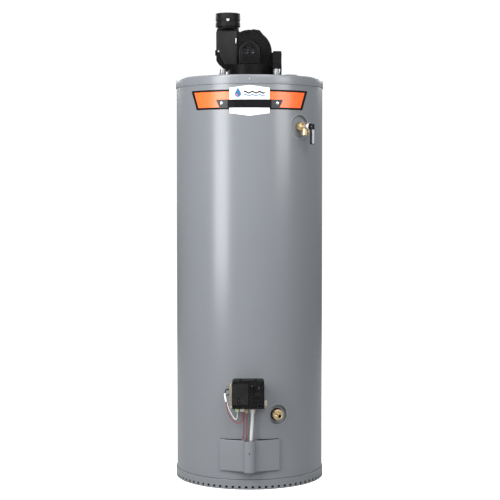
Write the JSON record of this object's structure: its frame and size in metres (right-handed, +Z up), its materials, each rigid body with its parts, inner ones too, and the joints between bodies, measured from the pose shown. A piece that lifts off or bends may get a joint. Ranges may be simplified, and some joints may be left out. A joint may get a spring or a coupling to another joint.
{
  "type": "tank water heater",
  "caption": "Upright round gas storage water heater with a blower-driven vent on its lid, front gas control, relief valve, drain and burner door.",
  "frame": {"origin": "centre of the base, on the floor", "axes": "+Z up along the tank; -Y is the front with the gas control; +X is the viewer's right"},
  "size_m": [0.5644, 0.6662, 1.773],
  "materials": {
    "grey_paint": "satin",
    "tank_steel": "matte",
    "bare_steel": "satin",
    "aluminium": "satin",
    "casting": "matte",
    "brass": "polished",
    "black_plastic": "satin",
    "black_rubber": "matte",
    "grey_plastic": "satin",
    "white_plastic": "satin",
    "foam": "matte",
    "ceramic": "matte",
    "gasket": "matte",
    "glass": "gloss",
    "red_wire": "satin",
    "label": "gloss"
  },
  "bodies": {
    "cabinet": {"base_pan": "grey_paint", "base_ring": "grey_paint", "jacket": "grey_paint", "top_lid": "grey_paint", "tank_shell": "tank_steel", "tank_top_head": "tank_steel", "tank_bottom_head": "tank_steel", "flue_tube": "tank_steel", "chamber_floor": "tank_steel", "hot_nipple": "bare_steel", "cold_nipple": "bare_steel", "flue_baffle": "bare_steel", "burner_pan": "bare_steel", "mixer_tube": "bare_steel", "inner_door": "bare_steel", "blower_motor": "bare_steel", "relief_spring": "bare_steel", "gas_tube": "aluminium", "anode_rod": "aluminium", "gas_valve_casting": "casting", "relief_valve_body": "brass", "drain_valve_body": "brass", "thermowell": "brass", "blower_hood": "black_plastic", "scroll_front": "black_plastic", "scroll_rear": "black_plastic", "inlet_plenum": "black_plastic", "outlet_adapter": "black_plastic", "motor_cover": "black_plastic", "junction_box": "black_plastic", "pressure_switch": "black_plastic", "control_cover": "black_plastic", "vent_coupling": "black_rubber", "lead_black": "black_rubber", "anode_cap": "grey_plastic", "relief_dish": "grey_plastic", "drain_dish": "grey_plastic", "dip_tube": "white_plastic", "lead_sleeve": "white_plastic", "lead_white": "white_plastic", "foam_insulation": "foam", "flame_arrestor": "ceramic", "igniter": "ceramic", "flame_sensor": "ceramic", "door_gasket": "gasket", "sight_glass": "glass", "lead_red": "red_wire", "igniter_lead": "red_wire", "sensor_lead": "red_wire", "label_plate": "label"},
    "outer_door": {"outer_door": "grey_paint"},
    "blower_rotor": {"blower_wheel": "bare_steel", "motor_shaft": "bare_steel", "cooling_fan": "grey_plastic"},
    "relief_stem": {"relief_stem": "brass"},
    "relief_lever": {"relief_lever": "bare_steel"},
    "drain_stem": {"drain_stem": "brass"},
    "temperature_dial": {"temperature_dial": "black_plastic"},
    "set_button": {"set_button": "black_plastic"},
    "power_switch": {"power_switch": "black_plastic"}
  },
  "joints": [
    {"name": "outer_door_lift_off", "type": "slide", "parent": "cabinet", "child": "outer_door", "axis": [0, -1, 0], "range_m": [0, 0.15]},
    {"name": "blower_spin", "type": "hinge", "parent": "cabinet", "child": "blower_rotor", "pos_m": [0, 0, 1.628], "axis": [0, 1, 0], "continuous": true},
    {"name": "relief_stem_lift", "type": "slide", "parent": "cabinet", "child": "relief_stem", "axis": [0.6858, -0.7278, 0], "range_m": [0, 0.003]},
    {"name": "relief_lever_hinge", "type": "hinge", "parent": "relief_stem", "child": "relief_lever", "pos_m": [0.22906, -0.24308, 1.331], "axis": [-0.7278, -0.6858, 0], "range_deg": [0, 90], "stiffness_Nm_per_rad": 0.05},
    {"name": "drain_stem_turn", "type": "hinge", "parent": "cabinet", "child": "drain_stem", "pos_m": [0.10335, -0.2584, 0.2868], "axis": [0.3714, -0.9285, 0], "range_deg": [0, 90]},
    {"name": "temperature_dial_turn", "type": "hinge", "parent": "cabinet", "child": "temperature_dial", "pos_m": [0.009, -0.376, 0.3888], "axis": [0, -1, 0], "range_deg": [-135, 135]},
    {"name": "set_button_press", "type": "slide", "parent": "cabinet", "child": "set_button", "axis": [0, 1, 0], "range_m": [0, 0.003], "stiffness_N_per_m": 300},
    {"name": "power_switch_slide", "type": "slide", "parent": "cabinet", "child": "power_switch", "axis": [1, 0, 0], "range_m": [0, 0.006]}
  ],
  "couplings": [
    {"joint": "relief_stem_lift", "follows": "relief_lever_hinge", "m_per_rad": 0.0019}
  ]
}
